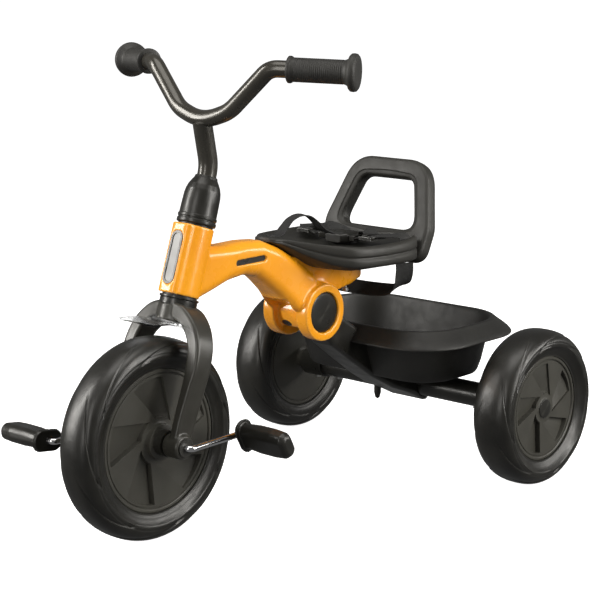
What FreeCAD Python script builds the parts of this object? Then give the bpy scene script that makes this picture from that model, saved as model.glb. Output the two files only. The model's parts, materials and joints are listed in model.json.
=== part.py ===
"""Children's folding tricycle, modelled as separate named pieces.

Row frame: +X is the rider's left, -Y is forward, +Z is up.  The origin is on the
floor, under the middle of the whole tricycle.  All lengths are in millimetres.
"""

import FreeCAD, Part
import math
import os

V = FreeCAD.Vector
X, Y, Z = V(1, 0, 0), V(0, 1, 0), V(0, 0, 1)
ORIGIN = V(0, 0, 0)

# ---- driving dimensions -------------------------------------------------------
FRONT_WHEEL_R = 125.0
REAR_WHEEL_R = 105.0
FRONT_AXLE_Y = -240.0
REAR_AXLE_Y = 260.0
HEAD_TILT_DEG = 18.8          # steering axis leans back by this much
FRONT_TYRE_W = 56.0
REAR_TYRE_W = 59.0
REAR_TRACK = 434.0            # between the middles of the rear tyres
RUN_GAP = 0.3                 # clear gap between pieces on different bodies
BORE_GAP = 0.05               # radial running clearance of a shaft in its bore

# steering column, measured along the steering axis from the front axle
COLLAR_S = (164.0, 175.0)
HEAD_S = (177.0, 263.0)
BOOT_S = (265.6, 326.0)
HEAD_R = 23.5
HEAD_FRONT = 27.0             # the head tube's front is drawn out to carry the badge
BUSH_R = 18.0
STEERER_R = 14.0
STEM_R = 12.0
BAR_R = 10.3

# fold hinge
HUB = V(0, 42.0, 241.5)
CUP_R = 37.5
CUP_X = (20.0, 38.5)          # each end cup runs between these |x|
KNUCKLE_R = 24.5
BARREL_R = (25.2, 28.8)
BARREL_DEG = (4.0, 232.0)     # the barrel wall covers these angles about the hinge
PIN_R = 6.0
BUTTON_R = 26.5
ARM_HALF = 19.6

# pedals
CRANK_LEN = 96.0
CRANK_ROD_R = 4.0
CRANK_ROOT_X = 74.5           # the crank leaves the axle line here
CRANK_TIP_X = 62.0            # and slants in to here at the pedal
CRANK_DROP_DEG = 2.0
PEDAL_X = (69.3, 145.0)

# rear axle
AXLE_TUBE_R = 17.0
AXLE_TUBE_X = 184.6
AXLE_ROD_R = 5.0

# basket
RIM_Z = 209.0
SKIRT_Z = 188.0
FLOOR_Z = 132.0
BASKET_Y = 230.0

# seat
SEAT_REAR_Y = 172.0

FRONT_AXLE = V(0, FRONT_AXLE_Y, FRONT_WHEEL_R)
REAR_AXLE = V(0, REAR_AXLE_Y, REAR_WHEEL_R)
ARM_VEC = REAR_AXLE - HUB
ARM_LEN = ARM_VEC.Length
ARM_DIR = ARM_VEC / ARM_LEN
ARM_UP = X.cross(ARM_DIR)     # square to the arm, on its upper side


# ---- helpers --------------------------------------------------------------------
def save(name, shape):
    """Write one node as a STEP file."""
    shape.exportStep("parts/" + name + ".step")


def cyl(start, end, radius):
    """A solid cylinder between two points."""
    run = end - start
    return Part.makeCylinder(radius, run.Length, start, run)


def sleeve(start, end, outer, inner):
    """A tube between two points."""
    return cyl(start, end, outer).cut(cyl(start, end, inner))


def box(low, high):
    """A box between two corners."""
    size = high - low
    return Part.makeBox(size.x, size.y, size.z, low)


def polygon(points):
    """A closed wire of straight runs."""
    return Part.makePolygon(points + [points[0]])


def lathe(profile, origin=ORIGIN, axis=Z):
    """Turn a closed (radius, height) outline about an axis."""
    face = Part.Face(polygon([V(r, 0, h) for r, h in profile]))
    solid = face.revolve(ORIGIN, Z, 360)
    solid.Placement = FreeCAD.Placement(origin, FreeCAD.Rotation(Z, axis))
    return solid


def mirrored(shape):
    """The same piece on the rider's right."""
    return shape.mirror(ORIGIN, X)


def steer(shape):
    """Move a shape from the column's own frame (axis +Z, axle at 0) to the row frame."""
    moved = shape.copy()
    moved.rotate(ORIGIN, X, -HEAD_TILT_DEG)
    moved.translate(FRONT_AXLE)
    return moved


def rounded(centre, side, up, half_side, half_up, corner):
    """A rounded rectangle wire, centred on a point, in the plane of side and up."""
    side, up = V(side).normalize(), V(up).normalize()
    corner = min(corner, 0.98 * half_side, 0.98 * half_up)
    edges = []
    inner_s, inner_u = half_side - corner, half_up - corner
    quadrants = [(1, 1), (-1, 1), (-1, -1), (1, -1)]
    half_turn = corner * math.sqrt(0.5)
    arcs = []
    for index, (sign_s, sign_u) in enumerate(quadrants):
        hub = centre + side * (sign_s * inner_s) + up * (sign_u * inner_u)
        on_side = hub + side * (sign_s * corner)
        on_up = hub + up * (sign_u * corner)
        middle = hub + side * (sign_s * half_turn) + up * (sign_u * half_turn)
        first, last = (on_side, on_up) if index % 2 == 0 else (on_up, on_side)
        arcs.append((first, middle, last))
    for index, (first, middle, last) in enumerate(arcs):
        edges.append(Part.Arc(first, middle, last).toShape())
        edges.append(Part.LineSegment(last, arcs[(index + 1) % 4][0]).toShape())
    return Part.Wire(edges)


def loft(wires, ruled=False):
    """A closed solid through a row of wires."""
    return Part.makeLoft(wires, True, ruled)


def prism(points, direction):
    """A flat outline pushed along a vector."""
    return Part.Face(polygon(points)).extrude(direction)


def rounded_path(points, radii):
    """Straight runs joined by tangent arcs, one radius for each inner point."""
    edges = []
    start = points[0]
    for index in range(1, len(points) - 1):
        here = points[index]
        back = (points[index - 1] - here).normalize()
        ahead = (points[index + 1] - here).normalize()
        half = back.getAngle(ahead) / 2
        radius = radii[index - 1]
        trim = radius / math.tan(half)
        middle = (back + ahead).normalize()
        bend_in, bend_out = here + back * trim, here + ahead * trim
        top = here + middle * (radius / math.sin(half) - radius)
        edges.append(Part.LineSegment(start, bend_in).toShape())
        edges.append(Part.Arc(bend_in, top, bend_out).toShape())
        start = bend_out
    edges.append(Part.LineSegment(start, points[-1]).toShape())
    return Part.Wire(edges)


def rod(path, first, second, radius):
    """A round rod along a path that leaves its first point towards the second."""
    section = Part.Wire(Part.makeCircle(radius, first, second - first))
    return path.makePipeShell([section], True, True)


def hub_point(angle_deg, radius, x=0.0):
    """A point about the fold hinge; 0 degrees is straight back, 90 is up."""
    angle = math.radians(angle_deg)
    return HUB + V(x, radius * math.cos(angle), radius * math.sin(angle))


def arm_point(along, up, x=0.0):
    """A point on the rear arm, from the hinge towards the rear axle."""
    return HUB + ARM_DIR * along + ARM_UP * up + V(x, 0, 0)


def column(along, back=0.0, x=0.0):
    """A point on the steering column, in the row frame."""
    tilt = math.radians(HEAD_TILT_DEG)
    up = V(0, math.sin(tilt), math.cos(tilt))
    rear = V(0, math.cos(tilt), -math.sin(tilt))
    return FRONT_AXLE + up * along + rear * back + V(x, 0, 0)


# ---- main frame ---------------------------------------------------------------------
def spine_wires():
    """Cross sections of the top tube, from the head tube down to the hinge."""
    stations = [
        (-166, 317, 0, 19, 31.5), (-140, 321, -4, 19, 28), (-112, 324.5, -3, 19.5, 23),
        (-82, 326.5, 1, 20, 21.5), (-56, 323, 12, 21, 23), (-34, 311.5, 28, 23, 25),
        (-10, 295, 37, 26, 27), (16, 272, 42, 31, 29), (36, 252, 44, 33, 24),
    ]
    wires = []
    for y, z, drop_deg, half_width, half_height in stations:
        drop = math.radians(drop_deg)
        up = V(0, math.sin(drop), math.cos(drop))
        wires.append(rounded(V(0, y, z), X, up, half_width, half_height, 14))
    return wires


def wing():
    """The seat carrier behind the top tube, drawn out to a blunt tip."""
    stations = [(4, 323, 296, 22), (30, 308, 268, 25), (60, 301, 262, 27), (86, 299, 263.5, 26),
                (115, 298.5, 266.5, 22), (142, 298, 271, 15)]
    wires = []
    for y, top, bottom, half_width in stations:
        height = (top - bottom) / 2
        wires.append(rounded(V(0, y, (top + bottom) / 2), X, Z, half_width, height, 6))
    return loft(wires, ruled=True)


def hinge_shell():
    """The two end cups and the barrel wall between them."""
    cups = []
    for side in (-1, 1):
        low, high = (V(side * x, HUB.y, HUB.z) for x in CUP_X)
        cups.append(cyl(low, high, CUP_R))
    barrel = sleeve(HUB - X * CUP_X[0], HUB + X * CUP_X[0], BARREL_R[1], BARREL_R[0])
    gap = [HUB - X * 21]
    steps = 6
    for step in range(steps + 1):
        angle = BARREL_DEG[1] + (360 + BARREL_DEG[0] - BARREL_DEG[1]) * step / steps
        gap.append(hub_point(angle, 60, -21))
    return cups, barrel.cut(prism(gap, X * 42))


def main_frame():
    """One hollow moulding: head tube, top tube, seat carrier and hinge housing."""
    head = cyl(column(HEAD_S[0]), column(HEAD_S[1]), HEAD_R)
    middle = (HEAD_S[0] + HEAD_S[1]) / 2
    front = rounded(V(0, -HEAD_FRONT / 2, HEAD_S[0]), X, Y, 16.5, HEAD_FRONT / 2, 9)
    head = head.fuse(steer(Part.Face(front).extrude(Z * 2 * (middle - HEAD_S[0]))))
    body = head.fuse(loft(spine_wires(), ruled=True)).fuse(wing())
    cups, barrel = hinge_shell()
    body = body.fuse(cups + [barrel])
    body = body.cut(cyl(HUB - X * CUP_X[0], HUB + X * CUP_X[0], BARREL_R[0]))
    for side in (-1, 1):
        for depth, radius in ((25, BUTTON_R + 0.5), (23.5, 8.5)):
            body = body.cut(cyl(HUB + X * side * depth, HUB + X * side * 60, radius))
    for turn in (0, 20, 40, 60):
        swept = arm_neck(1.0)
        swept.rotate(HUB, X, -turn)
        body = body.cut(swept)
    body = body.cut(cyl(HUB - X * 23.5, HUB + X * 23.5, PIN_R))
    body = body.cut(cyl(column(HEAD_S[0] - 20), column(HEAD_S[1] + 30), BUSH_R))
    body = body.cut(cyl(column(HEAD_S[1]), column(HEAD_S[1] + 60), 60))
    body = body.cut(cyl(column(HEAD_S[0] - 60), column(HEAD_S[0]), 60))
    body = body.cut(badge_recess())
    for side in (-1, 1):
        body = body.cut(slot_inlay(side, 26.0))
    return max(body.Solids, key=lambda s: s.Volume)


BADGE_S = (187.0, 253.0)
BADGE_HALF = 9.5
BEZEL_W = 3.0
BADGE_FACE = -24.6


def stadium(s_low, s_high, half, face, depth):
    """An upright stadium plate on the front of the head tube."""
    low = steer(Part.makeCylinder(half, depth, V(0, face, s_low + half), -Y))
    high = steer(Part.makeCylinder(half, depth, V(0, face, s_high - half), -Y))
    middle = steer(box(V(-half, face - depth, s_low + half), V(half, face, s_high - half)))
    return low.fuse([high, middle]).removeSplitter()


def badge_recess():
    return stadium(BADGE_S[0], BADGE_S[1], BADGE_HALF, BADGE_FACE, 12)


def head_badge():
    return stadium(BADGE_S[0] + BEZEL_W, BADGE_S[1] - BEZEL_W, BADGE_HALF - BEZEL_W, BADGE_FACE, 1.1)


def badge_bezel():
    outer = stadium(BADGE_S[0], BADGE_S[1], BADGE_HALF, BADGE_FACE, 2.2)
    return outer.cut(stadium(BADGE_S[0] + BEZEL_W, BADGE_S[1] - BEZEL_W, BADGE_HALF - BEZEL_W, BADGE_FACE, 2.2))


def slot_inlay(side, outer=18.6):
    """A dark strip let into the side of the top tube, a little below its surface."""
    inner = 14.0
    ends = [V(side * inner, -100, 323.5), V(side * inner, -54, 324)]
    outward = X * side * (outer - inner)
    rounds = [Part.makeCylinder(3.5, outer - inner, end, outward) for end in ends]
    strip = prism([ends[0] + Z * 3.5, ends[1] + Z * 3.5, ends[1] - Z * 3.5, ends[0] - Z * 3.5], outward)
    return strip.fuse(rounds).removeSplitter()


def head_bush(s_end, s_flange):
    """A flanged plastic bush pressed into one end of the head tube."""
    step = 2.0 if s_flange > s_end else -2.0
    body = sleeve(column(s_end), column(s_flange), BUSH_R, STEERER_R + BORE_GAP)
    flange = sleeve(column(s_flange), column(s_flange + step), 21.5, STEERER_R + BORE_GAP)
    return body.fuse(flange).removeSplitter()


# ---- seat --------------------------------------------------------------------------------
def seat_wires():
    """Cross sections of the saddle, nose first: y, half width, rim, lip, belly, crown."""
    stations = [
        (-36, 15, 345, 341, 340, 346), (-18, 23, 343, 335, 330, 343), (4, 42, 338, 320, 316, 335),
        (26, 70, 334, 309, 303, 327), (50, 92, 332, 304.5, 298, 322), (90, 99, 331, 303, 297, 320),
        (140, 97, 331, 301.5, 296.5, 322), (SEAT_REAR_Y, 88, 333, 301, 296, 327),
    ]
    wires = []
    for y, half, rim, lip, belly, crown in stations:
        right = [(half * 0.3, belly), (half * 0.82, lip), (half, (rim + lip) / 2), (half * 0.95, rim),
                 (half * 0.7, (rim + crown) / 2), (half * 0.2, crown)]
        ring = [V(x, y, z) for x, z in right] + [V(-x, y, z) for x, z in right[::-1]]
        wires.append(polygon(ring))
    return wires


def seat_pan(frame):
    """The moulded saddle, cut to lie on the frame."""
    pan = loft(seat_wires(), ruled=True)
    for side in (-1, 1):
        slot_wires = [webbing_section(V(side * SLOT.x, SLOT.y, z), slot_across(side), X * side, 15, 2.5)
                      for z in (270, 350)]
        pan = pan.cut(loft(slot_wires, ruled=True))
    return pan.cut(frame)


HOOP_LEAN_DEG = 21.0
HOOP_BASE = V(0, 172.3, 300.0)
HOOP_DEPTH = 22.0


def hoop_wire(points, radii, offset):
    """A closed rounded outline in the leaning plane of the backrest."""
    lean = math.radians(HOOP_LEAN_DEG)
    up = V(0, math.sin(lean), math.cos(lean))
    back = V(0, math.cos(lean), -math.sin(lean))
    corners = [HOOP_BASE + X * x + up * h + back * offset for x, h in points]
    count = len(corners)
    arcs = []
    for index, here in enumerate(corners):
        towards = (corners[index - 1] - here).normalize()
        ahead = (corners[(index + 1) % count] - here).normalize()
        half = towards.getAngle(ahead) / 2
        trim = radii[index] / math.tan(half)
        peak = here + (towards + ahead).normalize() * (radii[index] / math.sin(half) - radii[index])
        arcs.append((here + towards * trim, peak, here + ahead * trim))
    edges = []
    for index, arc in enumerate(arcs):
        edges.append(Part.Arc(*arc).toShape())
        edges.append(Part.LineSegment(arc[2], arcs[(index + 1) % count][0]).toShape())
    return Part.Wire(edges), back


def backrest():
    """The hoop that stands up from the back of the saddle."""
    outer = [(-88, -3), (88, -3), (90, 44), (62, 136), (-62, 136), (-90, 44)]
    opening = [(-67, 38), (67, 38), (45, 110), (-45, 110)]
    outline, back = hoop_wire(outer, [10, 10, 60, 34, 34, 60], 0.0)
    hole, back = hoop_wire(opening, [18, 18, 14, 14], -2.0)
    ring = Part.Face(outline).extrude(back * HOOP_DEPTH)
    return ring.cut(Part.Face(hole).extrude(back * (HOOP_DEPTH + 4)))


def seat_screws():
    """Four screws up through the seat carrier into the saddle."""
    screws = []
    for x in (-12, 12):
        for y in (70, 112):
            head = cyl(V(x, y, 257.5), V(x, y, 261.0), 4.5)
            shank = cyl(V(x, y, 261.0), V(x, y, 310.0), 2.0)
            screws.append(head.fuse(shank).removeSplitter())
    return Part.makeCompound(screws)


def back_screws():
    """Four screws through the foot of the backrest into the saddle."""
    lean = math.radians(HOOP_LEAN_DEG)
    back = V(0, math.cos(lean), -math.sin(lean))
    up = V(0, math.sin(lean), math.cos(lean))
    screws = []
    for x in (-70, -25, 25, 70):
        face = HOOP_BASE + X * x + up * 16 + back * HOOP_DEPTH
        head = cyl(face, face + back * 2.5, 4.5)
        shank = cyl(face - back * (HOOP_DEPTH + 14), face, 2.0)
        screws.append(head.fuse(shank).removeSplitter())
    return Part.makeCompound(screws)


# ---- seat harness ---------------------------------------------------------------------------
WEB_HALF = 12.5
WEB_HALF_T = 0.8
SLOT = V(84, 148, 0)


def slot_across(side):
    """The direction of the webbing's width in the slot at the back corner of the saddle."""
    return V(side * 0.5, 0.85, 0).normalize()


def webbing_section(centre, across, normal, half_width, half_thick):
    """A flat rectangle across a run of webbing."""
    side = V(across).normalize() * half_width
    flat = V(normal) - V(across).normalize() * V(normal).dot(V(across).normalize())
    flat = flat.normalize() * half_thick
    return polygon([centre + side + flat, centre - side + flat, centre - side - flat, centre + side - flat])


def webbing(points, across, half_width=WEB_HALF):
    """A closed strap along a list of points, with the direction of its width at each one."""
    wires = []
    for index, point in enumerate(points):
        before = points[max(index - 1, 0)]
        after = points[min(index + 1, len(points) - 1)]
        normal = across[index].cross(after - before)
        wires.append(webbing_section(point, across[index], normal, half_width, WEB_HALF_T))
    return loft(wires, ruled=True)


def crotch_strap():
    """The strap that rises from the nose of the saddle and loops over to the buckle."""
    route = [(-22, 346.2), (-8, 346.6), (6, 350), (20, 355.5), (38, 358), (57, 357.5), (74, 352.5), (86, 344),
             (95, 336)]
    turn = [0, 0, -12, -26, -32, -30, -20, -8, 0]
    across = [V(math.cos(math.radians(a)), math.sin(math.radians(a)), 0) for a in turn]
    return webbing([V(0, y, z) for y, z in route], across, 8.5)


BUCKLE = V(4, 112, 330)


def buckle_body():
    """The push-in buckle housing that lies on the saddle."""
    return loft([rounded(BUCKLE - Y * 17, X, Z, 13, 5.5, 4), rounded(BUCKLE - Y * 8, X, Z, 20, 7, 5),
                 rounded(BUCKLE + Y * 15, X, Z, 20, 7, 5)], ruled=True)


def buckle_tongue(side):
    """One of the two tongues that push into the sides of the buckle."""
    near = BUCKLE + V(side * 20.4, 2, 0.5)
    far = BUCKLE + V(side * 31, 3, 1)
    return loft([rounded(near, Y, Z, 10, 4.5, 2), rounded(far, Y, Z, 13.5, 4, 2)], ruled=True)


def lap_route(side):
    """The lap strap's path from its tongue out to the slot, and its width directions."""
    start = BUCKLE + V(side * 31.3, 3, 1)
    slot = V(side * SLOT.x, SLOT.y, 0)
    points = [start, V(side * 48, 116, 333), V(side * 62, 118, 334), V(side * 73, 126, 334.5),
              V(side * 81, 140, 334), slot + Z * 329, slot + Z * 318, slot + Z * 300]
    turn = [Y, V(side * 0.02, 1, 0), V(side * 0.1, 1, 0), V(side * 0.3, 0.9, 0)]
    turn += [slot_across(side)] * (len(points) - len(turn))
    return points, turn


def lap_strap(side):
    """Webbing from a tongue out to the slot at the back corner of the saddle."""
    points, turn = lap_route(side)
    return webbing(points, turn)


def adjuster(side):
    """A three-bar slide on the lap strap."""
    centre = V(side * 55, 117, 333.6)
    outer = box(centre - V(10, 16.5, 2.2), centre + V(10, 16.5, 2.2))
    for offset in (-5, 5):
        low = centre + V(offset - 3, -13.5, -5)
        outer = outer.cut(box(low, low + V(6, 27, 10)))
    return outer.cut(lap_strap(side))


def under_strap():
    """Webbing that hangs in a shallow loop below the saddle from slot to slot."""
    run = [(0.2, 299), (0, 284), (-6, 269), (-24, 258), (-50, 253.5), (-76, 252.5)]
    left = [V(SLOT.x + x, SLOT.y, z) for x, z in run]
    turn = [slot_across(1), slot_across(1), V(0.45, 0.89, 0), V(0.3, 0.95, 0), V(0.12, 1, 0), Y]
    points = [V(-p.x, p.y, p.z) for p in left] + left[::-1]
    across = [V(-t.x, t.y, t.z) for t in turn] + turn[::-1]
    return webbing(points, across)


# ---- fold hinge --------------------------------------------------------------------------------
def fold_pin():
    return cyl(HUB - X * 23.5, HUB + X * 23.5, PIN_R)


def fold_button(side):
    """A round push button in the end of the hinge housing."""
    disc = cyl(HUB + X * side * 31, HUB + X * side * 36, BUTTON_R)
    crown = Part.makeCone(BUTTON_R, BUTTON_R - 2.5, 1.5, HUB + X * side * 36, X * side)
    stem = cyl(HUB + X * side * 28.2, HUB + X * side * 31, 8)
    return disc.fuse([crown, stem]).removeSplitter()


def button_spring(side):
    """The flat-wire spring that pushes the button out: three rings joined by two struts."""
    radius, half_width, half_thick = 13.0, 0.8, 0.4
    places = (25.5, 28.0, 30.5)
    spring = None
    for x in places:
        ends = HUB + X * (x - half_thick), HUB + X * (x + half_thick)
        ring = cyl(*ends, radius + half_width).cut(cyl(*ends, radius - half_width))
        spring = spring.fuse(ring) if spring else ring
    for up in (radius, -radius):
        corner = HUB + V(places[0], -half_width, up - 0.6)
        spring = spring.fuse(Part.makeBox(places[2] - places[0], 2 * half_width, 1.2, corner))
    if side < 0:
        spring.rotate(HUB, Z, 180)
    return spring


# ---- steering -----------------------------------------------------------------------------------
GUARD_R = 200.0
GUARD_S = 143.6               # the clear guard's top lies here along the steering axis


def fork_half_wires():
    """Sections of one fork leg, from the axle boss up and over to the crown's middle."""
    stations = [
        (53, 0, 90, 6.5, 13), (54.5, 34, 88, 6.5, 14.5), (56.5, 70, 89, 7.5, 14.5), (57, 96, 95, 9, 14),
        (53.5, 119, 112, 9.5, 14.5), (44, 138, 138, 9.5, 16), (28, 152.5, 157, 9.5, 18),
        (12, 158.5, 172, 9.5, 20), (0, 159.5, 180, 9.5, 21),
    ]
    wires = []
    for x, s, heading_deg, half_thick, half_depth in stations:
        heading = math.radians(heading_deg)
        normal = V(math.sin(heading), 0, -math.cos(heading))
        wires.append(rounded(V(x, 0, s), normal, Y, half_thick, half_depth, 5))
    return wires


def fork():
    """Crown, two legs and two axle bosses in one moulding."""
    leg = loft(fork_half_wires(), ruled=True)
    boss = cyl(V(40, 0, 0), V(65, 0, 0), 15)
    half = leg.fuse(boss)
    neck = Part.makeCylinder(23.2, COLLAR_S[0] - GUARD_S, V(0, 0, GUARD_S), Z)
    body = half.fuse([mirrored(half), neck])
    body = body.cut(cyl(V(0, 0, COLLAR_S[0]), V(0, 0, 200), 60))
    body = body.cut(cyl(V(0, 0, 150), V(0, 0, 200), STEERER_R))
    body = body.cut(cyl(V(-80, 0, 0), V(80, 0, 0), 8))
    return steer(body.removeSplitter())


def fork_bush(side):
    """The flanged bearing bush in a fork end."""
    body = sleeve(V(side * 40, 0, 0), V(side * 65, 0, 0), 8, CRANK_ROD_R + BORE_GAP)
    flange = sleeve(V(side * 65, 0, 0), V(side * 67, 0, 0), 11, CRANK_ROD_R + BORE_GAP)
    return steer(body.fuse(flange).removeSplitter())


def steerer_tube():
    return sleeve(column(150), column(300), STEERER_R, STEM_R)


def lower_collar():
    return lathe([(STEERER_R, 0), (23.4, 0), (23.4, 7.4), (24.4, 8.2), (24.4, 11), (STEERER_R, 11)],
                 column(COLLAR_S[0]), column(1) - column(0))


def stem_boot():
    """The clamp sleeve that grips the stem above the head tube."""
    low, high = BOOT_S
    profile = [(STEERER_R, low), (24, low), (24.3, low + 6), (23.6, low + 8), (23.6, low + 9.5),
               (24.3, low + 11), (23.4, low + 26), (22.8, 302), (21.8, 308), (19.8, 314), (17, 319), (14.4, 323),
               (13.2, high), (STEM_R, high), (STEM_R, 300), (STEERER_R, 300)]
    return steer(lathe(profile))


def boot_screw():
    """The clamp screw across the back of the boot."""
    centre = column(283, 20.5)
    return cyl(centre - X * 9, centre + X * 9, 2.5)


BAR_ELBOW = V(98, -126.5, 568)
BAR_END = V(190, -81.4, 565)


def handlebar():
    """Stem and bent bar, welded into one piece."""
    left = [V(0, -141.5, 500.5), V(43, -138, 515), BAR_ELBOW, BAR_END]
    right = [V(-p.x, p.y, p.z) for p in left[:0:-1]]
    points = right + left
    path = rounded_path(points, [24, 50, 75, 50, 24])
    bar = rod(path, points[0], points[1], BAR_R)
    stem_points = [column(300), column(339), V(0, -141.5, 500.5)]
    stem_path = rounded_path(stem_points, [45])
    stem = rod(stem_path, stem_points[0], stem_points[1], STEM_R)
    return bar.fuse(stem).removeSplitter()


GRIP_START = BAR_ELBOW + (BAR_END - BAR_ELBOW) * 0.223
GRIP_END = BAR_ELBOW + (BAR_END - BAR_ELBOW) * 1.0174


def grip(side):
    """A hand grip with a small inner collar and a wide outer flange."""
    length = (GRIP_END - GRIP_START).Length
    bore = BAR_R + 0.02
    profile = [(0, length + 3), (0, length - 1), (bore, length - 1), (bore, 0), (15.6, 0), (16, 4),
               (14.4, 6), (14.2, 30), (14.6, length - 12), (16, length - 8), (21.5, length - 6),
               (22.3, length - 2), (21, length + 2), (14, length + 3)]
    axis = GRIP_END - GRIP_START
    piece = lathe(profile, GRIP_START, axis)
    return piece if side > 0 else mirrored(piece)


def mudguard():
    """The short clear guard under the fork crown."""
    centre = GUARD_S - GUARD_R
    outer, inner = GUARD_R, GUARD_R - 2.2
    rim = []
    for radius, angles in ((outer, range(-10, 20, 2)), (inner, range(18, -11, -2))):
        for angle_deg in angles:
            angle = math.radians(angle_deg)
            rim.append(V(-33, -radius * math.sin(angle), centre + radius * math.cos(angle)))
    return steer(prism(rim, X * 66))


def guard_screw():
    """The screw that holds the guard up to the crown."""
    head = cyl(V(0, 0, 139.2), V(0, 0, GUARD_S - 2.2), 4.5)
    shank = cyl(V(0, 0, GUARD_S - 2.2), V(0, 0, 149), 2.0)
    return steer(head.fuse(shank).removeSplitter())


# ---- wheels -------------------------------------------------------------------------------------
def tyre(radius, width, seat_r, face_half, shoulder_r, centre, axis=X):
    """A foam tyre: a broad tread on shoulders that dish in to the wheel disc."""
    half = width / 2
    lip = seat_r + 2.5
    steps = 8
    outline = [(seat_r, -face_half), (lip, -face_half)]
    for step in range(steps + 1):
        angle = math.radians(-90 + 180 * step / steps)
        bulge = math.copysign(abs(math.sin(angle)) ** 0.8, math.sin(angle))
        crown = abs(math.cos(angle)) ** 0.8
        outline.append((shoulder_r + (radius - shoulder_r) * crown, half * bulge))
    outline += [(lip, face_half), (seat_r, face_half)]
    return lathe(outline, centre, axis)


def wheel_disc(radius, face, hub_r, bore_r, hub_reach, centre, outward, pockets):
    """Half of a wheel: a dished face with rim and hub sleeve, meeting its twin mid-width."""
    rim_in = radius - 4
    profile = [(bore_r, 0), (hub_r, 0), (hub_r, face - 5), (rim_in, face - 5), (rim_in, 0), (radius, 0),
               (radius, face), (hub_r + 3, face), (hub_r + 1, hub_reach), (bore_r, hub_reach)]
    disc = lathe(profile, ORIGIN, Z)
    for index in range(pockets):
        start = 360.0 / pockets * index
        low, high = hub_r + 9, radius - 8
        corners = []
        for reach, turn in ((low, 0), (high, 2), (high, 22), (high, 40), (low + 8, 34)):
            angle = math.radians(start + turn)
            corners.append(V(reach * math.cos(angle), reach * math.sin(angle), face - 2.5))
        disc = disc.cut(prism(corners, Z * 5))
    disc.Placement = FreeCAD.Placement(centre, FreeCAD.Rotation(Z, outward))
    return disc


FRONT_DISC_R = 89.0
FRONT_FACE = 20.0
FRONT_HUB_R = 22.0
FRONT_SHOULDER_R = 104.0
REAR_DISC_R = 71.0
REAR_FACE = 19.3
REAR_HUB_R = 13.0
REAR_BUSH_R = 8.0
REAR_SHOULDER_R = 86.0
REAR_HUB_REACH = 31.6


def front_tyre():
    return tyre(FRONT_WHEEL_R, FRONT_TYRE_W, FRONT_DISC_R, FRONT_FACE + 1, FRONT_SHOULDER_R, FRONT_AXLE)


def front_disc(side):
    return wheel_disc(FRONT_DISC_R, FRONT_FACE, FRONT_HUB_R, 10, 27, FRONT_AXLE, X * side, 5)


def front_hub():
    """The drive sleeve fixed on the crank rod."""
    tube = sleeve(FRONT_AXLE - X * 38.5, FRONT_AXLE + X * 38.5, 10, CRANK_ROD_R)
    for side in (-1, 1):
        tube = tube.fuse(sleeve(FRONT_AXLE + X * side * 27, FRONT_AXLE + X * side * 38.5, 16, 9))
    return tube.removeSplitter()


def crank_tip(side):
    """Where the crank meets the pedal spindle."""
    drop = math.radians(CRANK_DROP_DEG)
    return FRONT_AXLE + V(0, side * CRANK_LEN * math.cos(drop), -side * CRANK_LEN * math.sin(drop))


def crank_rod():
    """One bent rod: pedal spindle, crank, axle, crank, pedal spindle."""
    points = []
    for side in (1, -1):
        tip = crank_tip(side)
        near = [tip + X * side * (PEDAL_X[1] - 6), tip + X * side * CRANK_TIP_X,
                FRONT_AXLE + X * side * CRANK_ROOT_X]
        points += near if side > 0 else near[::-1]
    path = rounded_path(points, [6.5, 6, 6, 6.5])
    return rod(path, points[0], points[1], CRANK_ROD_R)


PEDAL_TURN_DEG = {1: -62.0, -1: -8.0}


def pedal(side):
    """A rounded block that turns freely on the spindle."""
    tip = crank_tip(side)
    turn = math.radians(PEDAL_TURN_DEG[side])
    flat, up = V(0, math.cos(turn), math.sin(turn)), V(0, -math.sin(turn), math.cos(turn))
    inner, outer = PEDAL_X
    flange = loft([rounded(tip + X * side * inner, flat, up, 21, 12.5, 12),
                   rounded(tip + X * side * (inner + 4.5), flat, up, 22.5, 14, 13)], ruled=True)
    stations = [(inner + 4, 17, 9.5), (inner + 30, 18.5, 11), (outer - 22, 18.5, 11), (outer - 6, 17, 10.5),
                (outer - 1.5, 14, 8), (outer, 11, 5)]
    wires = [rounded(tip + X * side * x, flat, up, depth, height, 9) for x, depth, height in stations]
    bore = cyl(tip + X * side * (inner - 1), tip + X * side * (outer - 5.5), CRANK_ROD_R + BORE_GAP)
    return flange.fuse(loft(wires, ruled=True)).cut(bore)


def rear_centre(side):
    return REAR_AXLE + X * side * REAR_TRACK / 2


def rear_tyre(side):
    return tyre(REAR_WHEEL_R, REAR_TYRE_W, REAR_DISC_R, REAR_FACE + 1, REAR_SHOULDER_R, rear_centre(side))


def rear_disc(side, outer):
    facing = side if outer else -side
    reach = REAR_FACE + 0.4 if outer else REAR_HUB_REACH
    return wheel_disc(REAR_DISC_R, REAR_FACE, REAR_HUB_R, REAR_BUSH_R, reach, rear_centre(side),
                      X * facing, 5 if outer else 0)


def wheel_bush(side):
    centre = rear_centre(side)
    inner = centre - X * side * (REAR_HUB_REACH + 0.4)
    return sleeve(inner, centre + X * side * 18, REAR_BUSH_R, AXLE_ROD_R + BORE_GAP)


def axle_cap(side):
    """The hub cap that covers the end of the axle."""
    centre = rear_centre(side)
    plug, top = REAR_BUSH_R - 0.1, REAR_FACE + 0.4
    return lathe([(0, top + 1.8), (0, top - 1.0), (plug, top - 1.0), (plug, top), (13, top), (12.4, top + 1.2)],
                 centre, X * side)


# ---- rear carriage ----------------------------------------------------------------------------
def arm_neck(grow):
    """The narrow root of the arm that swings inside the hinge barrel."""
    half = ARM_HALF + grow if grow else ARM_HALF
    wires = [rounded(arm_point(along, 0), X, ARM_UP, half, 17 + grow, 4) for along in (10, 42)]
    return loft(wires, ruled=True)


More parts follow.
